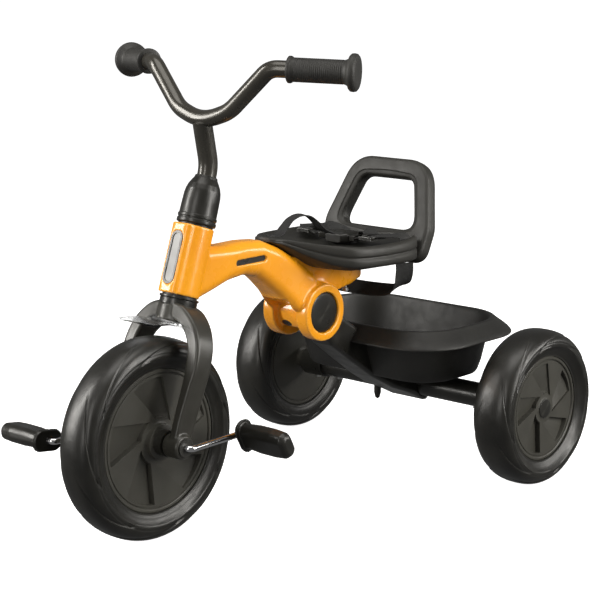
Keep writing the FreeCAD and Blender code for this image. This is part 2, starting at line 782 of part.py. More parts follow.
def rear_arm():
    """The flared arm from the hinge down to the rear axle, with its cradle."""
    knuckle = cyl(HUB - X * ARM_HALF, HUB + X * ARM_HALF, KNUCKLE_R)
    stations = [(41, -1.5, ARM_HALF, 17), (60, -5, 20.5, 21), (110, -7, 22, 22), (160, -9, 24, 22),
                (205, -9, 29, 20), (238, -6, 34, 17), (ARM_LEN + 18, -2, 34, 17)]
    wires = [rounded(arm_point(s, up), X, ARM_UP, width, height, 6) for s, up, width, height in stations]
    body = knuckle.fuse([arm_neck(0), loft(wires, ruled=True)])
    body = body.cut(cyl(HUB - X * 30, HUB + X * 30, PIN_R + BORE_GAP))
    body = body.cut(cyl(REAR_AXLE - X * 60, REAR_AXLE + X * 60, AXLE_TUBE_R))
    return body.removeSplitter()


def axle_tube():
    """The cross tube, with a larger boss at each wheel."""
    tube = cyl(REAR_AXLE - X * AXLE_TUBE_X, REAR_AXLE + X * AXLE_TUBE_X, AXLE_TUBE_R)
    bosses = []
    for side in (-1, 1):
        bosses.append(cyl(REAR_AXLE + X * side * 146, REAR_AXLE + X * side * AXLE_TUBE_X, 20))
    tube = tube.fuse(bosses).removeSplitter()
    tube = tube.cut(cyl(REAR_AXLE - X * 200, REAR_AXLE + X * 200, AXLE_ROD_R))
    return tube.cut(tube_screws()).cut(release_peg())


def axle_rod():
    """The steel rod that both rear wheels run on."""
    reach = REAR_TRACK / 2 + REAR_FACE - 1.2
    return cyl(REAR_AXLE - X * reach, REAR_AXLE + X * reach, AXLE_ROD_R)


def tube_screws():
    """Screws up through the underside of the cross tube, two each side."""
    screws = []
    for x in (-166, -124, 124, 166):
        base = REAR_AXLE + V(x, 0, 0)
        under = -22.5 if abs(x) > 146 else -19.5
        head = cyl(base + Z * under, base + Z * (under + 3.5), 4.2)
        shank = cyl(base + Z * (under + 3.5), base - Z * 7, 2.0)
        screws.append(head.fuse(shank).removeSplitter())
    return Part.makeCompound(screws)


def peg_top():
    return V(-52, REAR_AXLE_Y, REAR_WHEEL_R - AXLE_TUBE_R)


def release_peg():
    """The small peg under the arm."""
    return lathe([(0, -20), (3.2, -18), (5.2, -10), (5, 2.5), (0, 2.5)], peg_top())


def basket_solid(inset, drop):
    """The tub body, shrunk by an inset, from the rim down to its floor."""
    stations = [(RIM_Z + (0.5 if drop else 0), 133, 93, 66), (SKIRT_Z, 130, 88, 62),
                (150, 124, 77, 56), (FLOOR_Z + drop, 118, 70, 50)]
    wires = []
    for z, half_x, half_y, corner in stations:
        centre = V(0, BASKET_Y, z)
        wires.append(rounded(centre, X, Y, half_x - inset, half_y - inset, corner - inset))
    return loft(wires, ruled=True)


def basket_skirt():
    """The sloping outer flange below the rim."""
    outer = loft([rounded(V(0, BASKET_Y, SKIRT_Z), X, Y, 158, 118, 76),
                  rounded(V(0, BASKET_Y, RIM_Z), X, Y, 137, 97, 70)], ruled=True)
    inner = loft([rounded(V(0, BASKET_Y, SKIRT_Z - 0.5), X, Y, 154, 114, 72),
                  rounded(V(0, BASKET_Y, RIM_Z - 4), X, Y, 135, 95, 68)], ruled=True)
    return outer.cut(inner)


def arm_envelope(grow):
    """The room that the arm takes up, from its top down past the floor of the tub."""
    wires = []
    for along, half in ((60, 21.5), (160, 25.0), (205, 30.0), (ARM_LEN + 10, 35.0)):
        side = half + grow
        corners = [(17 + grow, -side), (17 + grow, side), (-70, side), (-70, -side)]
        wires.append(polygon([arm_point(along, up, x) for up, x in corners]))
    return loft(wires, ruled=True)


def basket():
    """The storage tub, with a covered channel over the rear arm."""
    cavity = basket_solid(3.0, 3.0).cut(arm_envelope(3.2))
    tub = basket_solid(0.0, 0.0).fuse(basket_skirt()).cut(cavity)
    tub = tub.cut(arm_envelope(0.3)).cut(rear_arm())
    tub = tub.cut(cyl(REAR_AXLE - X * 300, REAR_AXLE + X * 300, 20.3))
    return max(tub.Solids, key=lambda s: s.Volume)


# ---- build --------------------------------------------------------------------------------------
def main():
    os.makedirs("parts", exist_ok=True)
    frame = main_frame()
    screws = seat_screws()
    saddle = seat_pan(frame)
    hoop = backrest()
    bolts = back_screws()
    save("main_frame", frame.cut(screws))
    save("head_badge", head_badge())
    save("badge_bezel", badge_bezel())
    save("head_bush_lower", head_bush(HEAD_S[0] + 15, HEAD_S[0]))
    save("head_bush_upper", head_bush(HEAD_S[1] - 15, HEAD_S[1]))
    save("seat_pan", saddle.cut(hoop).cut(screws).cut(bolts))
    save("backrest", hoop.cut(bolts))
    save("seat_screws", screws)
    save("back_screws", bolts)
    save("crotch_strap", crotch_strap())
    save("buckle_body", buckle_body())
    save("under_strap", under_strap())
    save("fold_pin", fold_pin())
    crown = fork().cut(guard_screw())
    guard = mudguard().cut(fork()).cut(guard_screw())
    save("fork", crown)
    save("steerer_tube", steerer_tube())
    save("lower_collar", lower_collar())
    save("stem_boot", stem_boot().cut(boot_screw()))
    save("boot_screw", boot_screw())
    save("handlebar", handlebar())
    save("mudguard", max(guard.Solids, key=lambda s: s.Volume))
    save("guard_screw", guard_screw())
    save("front_tyre", front_tyre())
    save("front_hub", front_hub())
    save("crank_rod", crank_rod())
    save("rear_arm", rear_arm())
    save("axle_tube", axle_tube())
    save("axle_rod", axle_rod())
    save("tube_screws", tube_screws())
    save("release_peg", release_peg())
    save("basket", basket())
    for side, name in ((1, "left"), (-1, "right")):
        save("slot_inlay_" + name, slot_inlay(side))
        save("buckle_tongue_" + name, buckle_tongue(side))
        save("lap_strap_" + name, lap_strap(side))
        save("strap_adjuster_" + name, adjuster(side))
        save("fold_button_" + name, fold_button(side))
        save("button_spring_" + name, button_spring(side))
        save("fork_bush_" + name, fork_bush(side))
        save("grip_" + name, grip(side))
        save("front_disc_" + name, front_disc(side))
        save("pedal_" + name, pedal(side))
        save("rear_tyre_" + name, rear_tyre(side))
        save("rear_disc_outer_" + name, rear_disc(side, True))
        save("rear_disc_inner_" + name, rear_disc(side, False))
        save("wheel_bush_" + name, wheel_bush(side))
        save("axle_cap_" + name, axle_cap(side))


main()
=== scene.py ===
"""Looks of the folding children's tricycle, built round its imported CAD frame.

Metres throughout.  +X is the rider's left, -Y is forward, +Z is up.
"""

import json
import math

import bmesh
import bpy
import numpy as np
from mathutils import Matrix, Vector


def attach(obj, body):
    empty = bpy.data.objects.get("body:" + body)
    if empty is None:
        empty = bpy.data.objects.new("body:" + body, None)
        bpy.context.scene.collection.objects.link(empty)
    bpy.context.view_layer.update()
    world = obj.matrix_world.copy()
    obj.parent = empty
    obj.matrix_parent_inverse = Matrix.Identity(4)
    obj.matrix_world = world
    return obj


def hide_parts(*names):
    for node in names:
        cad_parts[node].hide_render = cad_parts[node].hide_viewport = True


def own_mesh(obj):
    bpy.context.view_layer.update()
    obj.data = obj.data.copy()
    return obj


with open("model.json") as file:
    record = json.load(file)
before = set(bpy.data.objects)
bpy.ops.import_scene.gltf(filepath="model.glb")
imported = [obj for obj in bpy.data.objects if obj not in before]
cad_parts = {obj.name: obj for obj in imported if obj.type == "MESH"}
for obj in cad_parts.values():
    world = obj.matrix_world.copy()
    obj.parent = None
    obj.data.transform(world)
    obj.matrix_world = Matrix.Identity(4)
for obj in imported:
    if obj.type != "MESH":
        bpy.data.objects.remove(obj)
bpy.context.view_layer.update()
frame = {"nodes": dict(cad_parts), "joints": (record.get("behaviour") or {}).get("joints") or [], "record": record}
nodes = frame["nodes"]
joints = {joint["name"]: joint for joint in frame["joints"]}

# ---- driving dimensions --------------------------------------------------------
MM = 0.001
X, Y, Z = Vector((1, 0, 0)), Vector((0, 1, 0)), Vector((0, 0, 1))
FRONT_AXLE = Vector(joints["front_wheel_spin"]["pos_m"])
REAR_AXLE_LEFT = Vector(joints["rear_wheel_left_spin"]["pos_m"])
HINGE = Vector(joints["rear_fold"]["pos_m"])
STEER_UP = Vector(joints["steering_turn"]["axis"]).normalized()
STEER_BACK = STEER_UP.cross(X)
CAMERA_AZIMUTH = math.radians(42.1)
CAMERA_ELEVATION = math.radians(11.4)
CAMERA_POSITION = Vector((1.4784, -1.6012, 0.6989))
CAMERA_LENS = 102.84
FLOOR_GLOW = 0.92
ROOM_LIGHT = 0.17
WAVE_UNIT = 0.314              # the period of a wave texture at scale 1, in metres
BARREL_RADIUS = 28.6           # the hinge barrel, in millimetres, as are the lengths below
TUB_Y = 230                    # the middle of the storage tub, along the tricycle
HOOP_LEAN_DEG = 21.0
HOOP_BASE = (0, 172.3, 300.0)
BAR_ELBOW = (98, -126.5, 568)  # the handlebar's bend before the grip, and its tip
BAR_TIP = (190, -81.4, 565)
COIL_RADIUS, COIL_START, COIL_LENGTH, COIL_TURNS, COIL_WIRE = 13.0, 25.9, 4.2, 3, 0.6
COIL_STEPS = 36                # sections in one turn of a coil
SIDES = ((1, "left"), (-1, "right"))


# ---- materials -----------------------------------------------------------------
def surface(name, dark, light, rough, metal=0.0, grain=900.0, bump=0.12, coat=0.0, cloud=22.0,
            edge_highlight=None):
    """A moulded, painted or plated finish: clouded colour, uneven gloss and a fine grain, with a painted highlight
    when an edge colour is given: convex edges lightened towards it.
    """
    material = bpy.data.materials.new(name)
    material.use_nodes = True
    tree = material.node_tree
    shader = tree.nodes["Principled BSDF"]
    shader.inputs["Metallic"].default_value = metal
    shader.inputs["Coat Weight"].default_value = coat
    shader.inputs["Coat Roughness"].default_value = 0.08
    place = tree.nodes.new("ShaderNodeTexCoord")

    def noise(scale, detail):
        node = tree.nodes.new("ShaderNodeTexNoise")
        node.inputs["Scale"].default_value = scale
        node.inputs["Detail"].default_value = detail
        tree.links.new(place.outputs["Object"], node.inputs["Vector"])
        return node

    broad = noise(cloud, 4.0)
    ramp = tree.nodes.new("ShaderNodeValToRGB")
    ramp.color_ramp.elements[0].position = 0.35
    ramp.color_ramp.elements[1].position = 0.68
    ramp.color_ramp.elements[0].color = (*dark, 1)
    ramp.color_ramp.elements[1].color = (*light, 1)
    tree.links.new(broad.outputs["Fac"], ramp.inputs["Fac"])
    colour = ramp.outputs["Color"]
    # painted highlight: convex edges, found by pointiness, are mixed towards a lighter colour
    if edge_highlight:
        shape = tree.nodes.new("ShaderNodeNewGeometry")
        edge = tree.nodes.new("ShaderNodeMapRange")
        edge.inputs["From Min"].default_value = 0.515
        edge.inputs["From Max"].default_value = 0.60
        edge.inputs["To Max"].default_value = 0.5
        tree.links.new(shape.outputs["Pointiness"], edge.inputs["Value"])
        mix = tree.nodes.new("ShaderNodeMix")
        mix.data_type = "RGBA"
        mix.inputs["B"].default_value = (*edge_highlight, 1)
        tree.links.new(edge.outputs["Result"], mix.inputs["Factor"])
        tree.links.new(colour, mix.inputs["A"])
        colour = mix.outputs["Result"]
    tree.links.new(colour, shader.inputs["Base Color"])
    patches = noise(cloud * 3, 3.0)
    gloss = tree.nodes.new("ShaderNodeMapRange")
    gloss.inputs["From Min"].default_value = 0.3
    gloss.inputs["From Max"].default_value = 0.7
    gloss.inputs["To Min"].default_value = rough[0]
    gloss.inputs["To Max"].default_value = rough[1]
    tree.links.new(patches.outputs["Fac"], gloss.inputs["Value"])
    tree.links.new(gloss.outputs["Result"], shader.inputs["Roughness"])
    fine = noise(grain, 2.0)
    relief = tree.nodes.new("ShaderNodeBump")
    relief.inputs["Strength"].default_value = bump
    relief.inputs["Distance"].default_value = 0.0004
    tree.links.new(fine.outputs["Fac"], relief.inputs["Height"])
    tree.links.new(relief.outputs["Normal"], shader.inputs["Normal"])
    return material


# The lighter edge colours given below are painted highlights along convex edges.
PAINT = {
    "frame_orange": surface("moulded_orange", (0.93, 0.35, 0.010), (0.99, 0.40, 0.013), (0.24, 0.32),
                            grain=500, bump=0.02, coat=0.35, cloud=14, edge_highlight=(1.0, 0.60, 0.16)),
    "black_plastic": surface("moulded_black", (0.010, 0.0096, 0.0078), (0.017, 0.0162, 0.0132),
                             (0.27, 0.38), bump=0.08, edge_highlight=(0.05, 0.049, 0.042)),
    "bearing_plastic": surface("bearing_black", (0.014, 0.0135, 0.011), (0.022, 0.021, 0.017), (0.35, 0.5)),
    "foam_tyre": surface("foam_skin", (0.009, 0.0086, 0.0070), (0.015, 0.0143, 0.0116), (0.30, 0.42),
                         grain=1500, bump=0.12, edge_highlight=(0.04, 0.039, 0.033)),
    "grip_rubber": surface("grip_rubber", (0.014, 0.0135, 0.012), (0.022, 0.021, 0.018), (0.5, 0.62),
                           grain=1300, bump=0.2),
    "painted_steel": surface("painted_tube", (0.040, 0.037, 0.030), (0.052, 0.048, 0.039),
                             (0.24, 0.34), metal=0.35, grain=700, bump=0.05, coat=0.25),
    "webbing": surface("webbing", (0.008, 0.008, 0.008), (0.018, 0.018, 0.017), (0.6, 0.8),
                       grain=700, bump=0.5),
    "plated_steel": surface("chrome_plate", (0.70, 0.70, 0.71), (0.80, 0.80, 0.81), (0.05, 0.12),
                            metal=1.0, grain=400, bump=0.02),
    "zinc_steel": surface("zinc_plate", (0.45, 0.45, 0.44), (0.58, 0.58, 0.56), (0.25, 0.4),
                          metal=1.0, grain=900, bump=0.08),
    "silver_badge": surface("blank_silver", (0.36, 0.36, 0.355), (0.46, 0.46, 0.45), (0.50, 0.60),
                            metal=0.1, grain=1500, bump=0.05),
}


def weave(material):
    """Cross ribs on a strap, from its UV map in metres."""
    tree = material.node_tree
    place = tree.nodes.new("ShaderNodeTexCoord")
    ribs = []
    for direction, period in (("X", 0.0013), ("Y", 0.0019)):
        rib = tree.nodes.new("ShaderNodeTexWave")
        rib.bands_direction = direction
        rib.inputs["Scale"].default_value = WAVE_UNIT / period
        tree.links.new(place.outputs["UV"], rib.inputs["Vector"])
        ribs.append(rib)
    both = tree.nodes.new("ShaderNodeMath")
    both.operation = "MULTIPLY"
    for rib, socket in zip(ribs, both.inputs):
        tree.links.new(rib.outputs["Fac"], socket)
    tree.links.new(both.outputs["Value"], tree.nodes["Bump"].inputs["Height"])


def clear_plastic():
    """Clear moulded plastic: a thin glossy sheet that shows what is behind it."""
    material = surface("clear_guard", (0.90, 0.91, 0.92), (0.97, 0.97, 0.97), (0.04, 0.10),
                       grain=300, bump=0.02)
    shader = material.node_tree.nodes["Principled BSDF"]
    shader.inputs["Transmission Weight"].default_value = 1.0
    shader.inputs["IOR"].default_value = 1.15
    return material


PAINT["clear_plastic"] = clear_plastic()
MATT_BLACK = surface("matt_black", (0.016, 0.0152, 0.0125), (0.022, 0.021, 0.017), (0.48, 0.58), bump=0.10)
# painted light: the wheel faces' black plastic, made lighter than the rest to stand in for light reflected onto
# them
DISC_PAINTED_LIGHT_BLACK = surface("disc_black_painted_light", (0.040, 0.0385, 0.0315), (0.050, 0.048, 0.039), (0.38, 0.48), bump=0.08)
# painted light: the fork's black plastic, made lighter than the rest to stand in for light reflected onto it
FORK_PAINTED_LIGHT_BLACK = surface("fork_black_painted_light", (0.030, 0.0288, 0.0238), (0.038, 0.0362, 0.030), (0.28, 0.38), bump=0.06)
# painted shade: the tub's black plastic, made darker than the rest to stand in for the shade on it
TUB_PAINTED_SHADE_BLACK = surface("tub_black_painted_shade", (0.007, 0.0067, 0.0056), (0.011, 0.0105, 0.0087), (0.50, 0.60), bump=0.08)
# painted highlight: the strap adjusters' black plastic, with its convex edges lightened to near white
ADJUSTER_EDGE_HIGHLIGHT = surface("adjuster_painted_edge_highlight", (0.012, 0.0115, 0.010), (0.020, 0.019, 0.016), (0.20, 0.30), bump=0.05,
                      edge_highlight=(0.9, 0.9, 0.88))
weave(PAINT["webbing"])


def paint_nodes():
    """Give every CAD node the finish of its material slot."""
    for part in frame["record"]["subparts"]:
        mesh = nodes[part["node"]].data
        mesh.materials.clear()
        mesh.materials.append(PAINT[part["material_slot"]])


# ---- stage -----------------------------------------------------------------------
def make_stage():
    """A plain pale floor and a far wall that glow, so that they stay white all round."""
    mesh = bpy.data.meshes.new("floor")
    half = 40.0
    mesh.from_pydata([(-half, -half, 0), (half, -half, 0), (half, half, 0), (-half, half, 0)], [],
                     [(0, 1, 2, 3)])
    floor = bpy.data.objects.new("floor", mesh)
    bpy.context.scene.collection.objects.link(floor)
    finish = surface("pale_floor", (0.90, 0.90, 0.90), (0.93, 0.93, 0.93), (0.85, 0.95), grain=30,
                     bump=0.0, cloud=0.8)
    shader = finish.node_tree.nodes["Principled BSDF"]
    shader.inputs["Emission Color"].default_value = (1, 1, 1, 1)
    shader.inputs["Emission Strength"].default_value = FLOOR_GLOW
    mesh.materials.append(finish)
    rings = [[Vector((math.cos(a), math.sin(a), 0)) * half + Z * height
              for a in np.linspace(0, 2 * math.pi, 64, endpoint=False)] for height in (-0.01, half)]
    verts, faces = skin(rings, ends=False)
    far_mesh = bpy.data.meshes.new("far_wall")
    far_mesh.from_pydata([tuple(point) for point in verts], [], faces)
    far_mesh.materials.append(finish)
    wall = bpy.data.objects.new("far_wall", far_mesh)
    bpy.context.scene.collection.objects.link(wall)
    wall.visible_shadow = False
    for item in (floor, wall):
        item.visible_diffuse = False
        item.visible_glossy = False


def area_light(name, azimuth, elevation, distance, size, power, colour=(1.0, 0.975, 0.93)):
    """A soft box that looks at the middle of the tricycle."""
    a, e = math.radians(azimuth), math.radians(elevation)
    way = Vector((math.sin(a) * math.cos(e), -math.cos(a) * math.cos(e), math.sin(e)))
    data = bpy.data.lights.new(name, "AREA")
    data.shape = "RECTANGLE"
    data.size, data.size_y = size
    data.energy = power
    data.color = colour
    light = bpy.data.objects.new(name, data)
    light.location = way * distance + Z * 0.3
    light.rotation_euler = way.to_track_quat("Z", "Y").to_euler()
    bpy.context.scene.collection.objects.link(light)


def make_lights():
    world = bpy.data.worlds.new("white_room")
    world.use_nodes = True
    world.node_tree.nodes["Background"].inputs["Color"].default_value = (1, 1, 1, 1)
    world.node_tree.nodes["Background"].inputs["Strength"].default_value = ROOM_LIGHT
    bpy.context.scene.world = world
    area_light("top_box", 30, 80, 2.4, (1.9, 1.6), 30)
    area_light("front_strip", -42, 20, 2.4, (0.40, 1.8), 50)
    area_light("left_strip", 104, 22, 2.4, (0.42, 1.9), 42)
    area_light("side_box", 130, 12, 2.6, (1.5, 0.5), 22)
    area_light("fill_box", 12, 16, 3.0, (0.5, 2.0), 22)


def make_camera():
    data = bpy.data.cameras.new("camera")
    data.lens = CAMERA_LENS
    data.sensor_width = 36
    data.clip_end = 100
    camera = bpy.data.objects.new("camera", data)
    flat = math.cos(CAMERA_ELEVATION)
    back = Vector((math.sin(CAMERA_AZIMUTH) * flat, -math.cos(CAMERA_AZIMUTH) * flat,
                   math.sin(CAMERA_ELEVATION)))
    camera.location = CAMERA_POSITION
    camera.rotation_euler = back.to_track_quat("Z", "Y").to_euler()
    bpy.context.scene.collection.objects.link(camera)
    bpy.context.scene.camera = camera


# ---- mesh helpers ----------------------------------------------------------------
def make_piece(name, verts, faces, finish, body, replaced=(), sharp_deg=40):
    """A mesh object with its finish, riding on a body, standing for some CAD nodes."""
    mesh = bpy.data.meshes.new(name)
    mesh.from_pydata([tuple(v) for v in verts], [], faces)
    build = bmesh.new()
    build.from_mesh(mesh)
    bmesh.ops.recalc_face_normals(build, faces=build.faces)
    limit = math.radians(sharp_deg)
    for edge in build.edges:
        edge.smooth = len(edge.link_faces) == 2 and edge.calc_face_angle(0) < limit
    for face in build.faces:
        face.smooth = True
    build.to_mesh(mesh)
    build.free()
    piece = bpy.data.objects.new(name, mesh)
    bpy.context.scene.collection.objects.link(piece)
    mesh.materials.append(PAINT[finish])
    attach(piece, body)
    if replaced:
        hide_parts(*replaced)
    return piece


def skin(rings, closed=True, around=False, ends=True):
    """Quads between equal rings of points, with flat ends."""
    count = len(rings[0])
    verts = [point for ring in rings for point in ring]
    faces = []
    for i in range(len(rings) if around else len(rings) - 1):
        low, high = i * count, ((i + 1) % len(rings)) * count
        for j in range(count if closed else count - 1):
            k = (j + 1) % count
            faces.append((low + j, low + k, high + k, high + j))
    if ends and not around:
        last = (len(rings) - 1) * count
        faces.append(tuple(range(count)))
        faces.append(tuple(range(last, last + count)))
    return verts, faces


def soften(outline, radius, steps=4, closed=False):
    """A 2-D outline with each corner rounded, and a point either side to hold the curve."""
    points = []
    count = len(outline)
    for index, here in enumerate(outline):
        if not closed and index in (0, count - 1):
            points.append(here)
            continue
        before, after = outline[index - 1], outline[(index + 1) % count]
        back = Vector((before[0] - here[0], before[1] - here[1]))
        ahead = Vector((after[0] - here[0], after[1] - here[1]))
        turn = math.pi - back.angle(ahead)
        if turn < math.radians(8):
            points.append(here)
            continue
        reach = min(radius * math.tan(turn / 2), 0.42 * back.length, 0.42 * ahead.length)
        first = Vector(here) + back.normalized() * reach
        last = Vector(here) + ahead.normalized() * reach
        for step in range(steps + 1):
            t = step / steps
            bend = first * (1 - t) ** 2 + Vector(here) * (2 * t * (1 - t)) + last * t ** 2
            points.append((bend.x, bend.y))
    return points


def turned(outline, origin, axis, segments=96, closed=False):
    """A shell turned from (radius, height) points in millimetres about an axis."""
    axis = axis.normalized()
    side = axis.orthogonal().normalized()
    other = axis.cross(side)
    rings = []
    for radius, height in outline:
        ring = []
        for step in range(segments):
            angle = 2 * math.pi * step / segments
            way = side * math.cos(angle) + other * math.sin(angle)
            ring.append(origin + axis * (height * MM) + way * (max(radius, 0.02) * MM))
        rings.append(ring)
    return skin(rings, around=closed, ends=not closed)


def ease(value, low, high):
    """0 below low, 1 above high, and smooth between."""
    t = min(max((value - low) / (high - low), 0.0), 1.0)
    return t * t * (3 - 2 * t)


def relax(mesh, passes, weight):
    """Even out a mesh with little shrinking, by a 0 to 1 weight at each vertex."""
    count = len(mesh.vertices)
    points = np.empty(count * 3)
    mesh.vertices.foreach_get("co", points)
    points = points.reshape(-1, 3)
    ends = np.empty(len(mesh.edges) * 2, dtype=np.int64)
    mesh.edges.foreach_get("vertices", ends)
    first, second = ends[0::2], ends[1::2]
    share = 1.0 / np.maximum(np.bincount(first, minlength=count) + np.bincount(second, minlength=count), 1)
    strength = np.array([weight(Vector(point)) for point in points])[:, None]
    for turn in range(passes):
        total = np.empty_like(points)
        for axis in range(3):
            total[:, axis] = (np.bincount(first, points[second, axis], count)
                              + np.bincount(second, points[first, axis], count)) * share
        points += (total - points) * strength * (0.5 if turn % 2 == 0 else -0.52 * 0.9)
    mesh.vertices.foreach_set("co", points.ravel())
    mesh.update()


def moulded(name, shells, voxel, passes, finish, body, replaced, shape=None, weight=None, long_passes=0):
    """CAD nodes or built shells fused under one smooth moulded skin."""
    mesh = bpy.data.meshes.new(name)
    build = bmesh.new()
    for shell in shells:
        if isinstance(shell, str):
            build.from_mesh(nodes[shell].data)
            continue
        corners = [build.verts.new(point) for point in shell[0]]
        for face in shell[1]:
            build.faces.new([corners[index] for index in face])
    bmesh.ops.recalc_face_normals(build, faces=build.faces)
    build.to_mesh(mesh)
    build.free()
    raw = bpy.data.objects.new(name + "_raw", mesh)
    bpy.context.scene.collection.objects.link(raw)
    remesh = raw.modifiers.new("skin", "REMESH")
    remesh.mode = "VOXEL"
    remesh.voxel_size = voxel
    graph = bpy.context.evaluated_depsgraph_get()
    final = bpy.data.meshes.new_from_object(raw.evaluated_get(graph))
    bpy.data.objects.remove(raw)
    if shape:
        for vertex in final.vertices:
            vertex.co = shape(vertex.co.copy())
    relax(final, passes, lambda point: 1.0)
    if weight:
        relax(final, long_passes, weight)
    final.shade_smooth()
    final.materials.clear()
    final.materials.append(PAINT[finish])
    piece = bpy.data.objects.new(name, final)
    bpy.context.scene.collection.objects.link(piece)
    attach(piece, body)
    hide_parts(*replaced)
    return piece


def column(along, back=0.0, x=0.0):
    """A point on the steering column, from millimetres along it, behind it and to its side."""
    return FRONT_AXLE + (STEER_UP * along + STEER_BACK * back + X * x) * MM


def rounded_ring(centre, side, up, half_side, half_up, corner, count=10):
    """Points of a rounded rectangle in the plane of side and up, sizes in millimetres."""
    corner = min(corner, half_side * 0.98, half_up * 0.98)
    ring = []
    for sign_s, sign_u, start in ((1, 1, 0), (-1, 1, 90), (-1, -1, 180), (1, -1, 270)):
        for step in range(count):
            angle = math.radians(start + 90 * step / (count - 1))
            ring.append(centre + side * ((sign_s * (half_side - corner) + corner * math.cos(angle)) * MM)
                        + up * ((sign_u * (half_up - corner) + corner * math.sin(angle)) * MM))
    return ring


def between(rows, steps):
    """Smooth rows of numbers between the given ones."""
    points = [np.array(row, dtype=float) for row in rows]
    result = []
    for index in range(len(points) - 1):
        p1, p2 = points[index], points[index + 1]
        p0 = points[index - 1] if index else 2 * p1 - p2
        p3 = points[index + 2] if index + 2 < len(points) else 2 * p2 - p1
        for step in range(steps):
            t = step / steps
            result.append(0.5 * (2 * p1 + (p2 - p0) * t + (2 * p0 - 5 * p1 + 4 * p2 - p3) * t * t
                                 + (p1 * 3 - p0 - 3 * p2 + p3) * t ** 3))
    result.append(points[-1])
    return result


# ---- wheels -----------------------------------------------------------------------
def wheel_point(centre, x, radius, angle):
    return centre + Vector((x, radius * math.cos(angle), radius * math.sin(angle))) * MM


def groove(distance, width):
    """A rounded channel, 1 deep in its middle."""
    t = abs(distance) / width
    return 0.0 if t >= 1 else (1 - t * t) ** 2


def swirl_depth(angle, across, arc, count, span):
    """Depth of the swirling channels on a tyre, sharp on one side and fading on the other.

    across runs from -1 on one shoulder, over the tread at 0, to 1 on the other.
    """
    pitch = 2 * math.pi / count
    depth = 0.0
    for side in (-1, 1):
        reach = across * side
        if reach < 0:
            continue
        base = -angle + (0.5 * pitch if side > 0 else 0.0)
        first = math.floor(base / pitch)
        for number in (first - 1, first, first + 1):
            t = (base - number * pitch) / span
            if not 0 <= t <= 1:
                continue
            line = 1.0 - 0.90 * t ** 1.2
            gap = (reach - line) * arc
            cut = ease(gap, -1.6, 0.0) if gap < 0 else math.exp(-gap / 4.0)
            fade = ease(t, 0.0, 0.14) * (1 - ease(t, 0.70, 1.0))
            depth = max(depth, cut * fade * (1 - ease(abs(across), 0.97, 1.0)))
    return depth


def foam_tyre(name, centre, radius, width, seat, face, shoulder, count, body, node):
    """A foam tyre: dished sidewalls, round shoulders and swirl channels in the tread."""
    half = width / 2
    across_steps, around_steps = 72, 540
    side_wall = [(seat, face), (seat + 1.8, face), (seat + 2.5, face + 0.3), (seat + 4.0, face + 1.4)]
    for step in range(1, 7):
        t = step / 6
        sag = 0.9 * math.sin(math.pi * t)
        side_wall.append((seat + 4.0 + (shoulder - seat - 4.0) * t,
                          face + 1.4 + (half - face - 1.4) * t - sag))
    rings = []
    for step in range(around_steps):
        angle = 2 * math.pi * step / around_steps
        ring = [wheel_point(centre, -x, r, angle) for r, x in side_wall]
        for part in range(1, across_steps):
            across = part / across_steps * 2 - 1
            turn = math.radians(90 * across)
            s, c = math.sin(turn), math.cos(turn)
            x = half * math.copysign(abs(s) ** 0.8, s)
            r = shoulder + (radius - shoulder) * abs(c) ** 0.8
            cut = 1.5 * swirl_depth(angle, across, 40.0 * radius / 125, count, math.radians(62))
            seam = 0.8 * groove(r - shoulder - 4.2, 0.9) + 0.5 * groove(r - shoulder - 1.6, 0.7)
            inward = cut + seam
            ring.append(wheel_point(centre, x - s * inward, r - abs(c) * inward, angle))
        ring += [wheel_point(centre, x, r, angle) for r, x in reversed(side_wall)]
        rings.append(ring)
    verts, faces = skin(rings, around=True)
    return make_piece(name, verts, faces, "foam_tyre", body, (node,), sharp_deg=70)


POCKETS = 5
POCKET_WALL_DEG = 192.0       # the first pocket's deep wall, at the rim


def edge_angle(outer_deg, inner_deg, outer, inner, radius):
    """Angle where a straight edge between two points on the wheel face crosses a radius."""
    first = Vector((math.cos(math.radians(outer_deg)), math.sin(math.radians(outer_deg)))) * outer
    last = Vector((math.cos(math.radians(inner_deg)), math.sin(math.radians(inner_deg)))) * inner
    way = last - first
    half_b = first.dot(way)
    root = max(half_b ** 2 - way.dot(way) * (first.dot(first) - radius ** 2), 0.0)
    t = min(max((-half_b - math.sqrt(root)) / way.dot(way), 0.0), 1.0)
    point = first + way * t
    angle = math.degrees(math.atan2(point.y, point.x))
    return outer_deg + (angle - outer_deg + 180) % 360 - 180


def pocket_lines(outer, inner, radius):
    """Angles of the wheel face's grid lines at one radius, with depth 0 to 1 for each."""
    radius = min(max(radius, inner), outer)
    walls, ramps = [], []
    for number in range(POCKETS):
        wall = POCKET_WALL_DEG + 360 / POCKETS * number
        walls.append(edge_angle(wall, wall - 22, outer, inner, radius))
        ramps.append(edge_angle(wall - 36, wall - 74, outer, inner, radius))
    lines = []
    for number in range(POCKETS):
        wall, ramp = walls[number], ramps[number]
        last_wall = walls[number - 1] - (360 if number == 0 else 0)
        for step in range(1, 8):
            lines.append((last_wall + (ramp - last_wall) * step / 8, 0.0))
        lines.append((ramp, 0.0))
        for step in range(15):
            t = step / 14
            lines.append((ramp + 0.6 + (wall - 1.4 - ramp) * t, 0.38 + 0.62 * t))
        lines.append((wall, 0.0))
    return lines


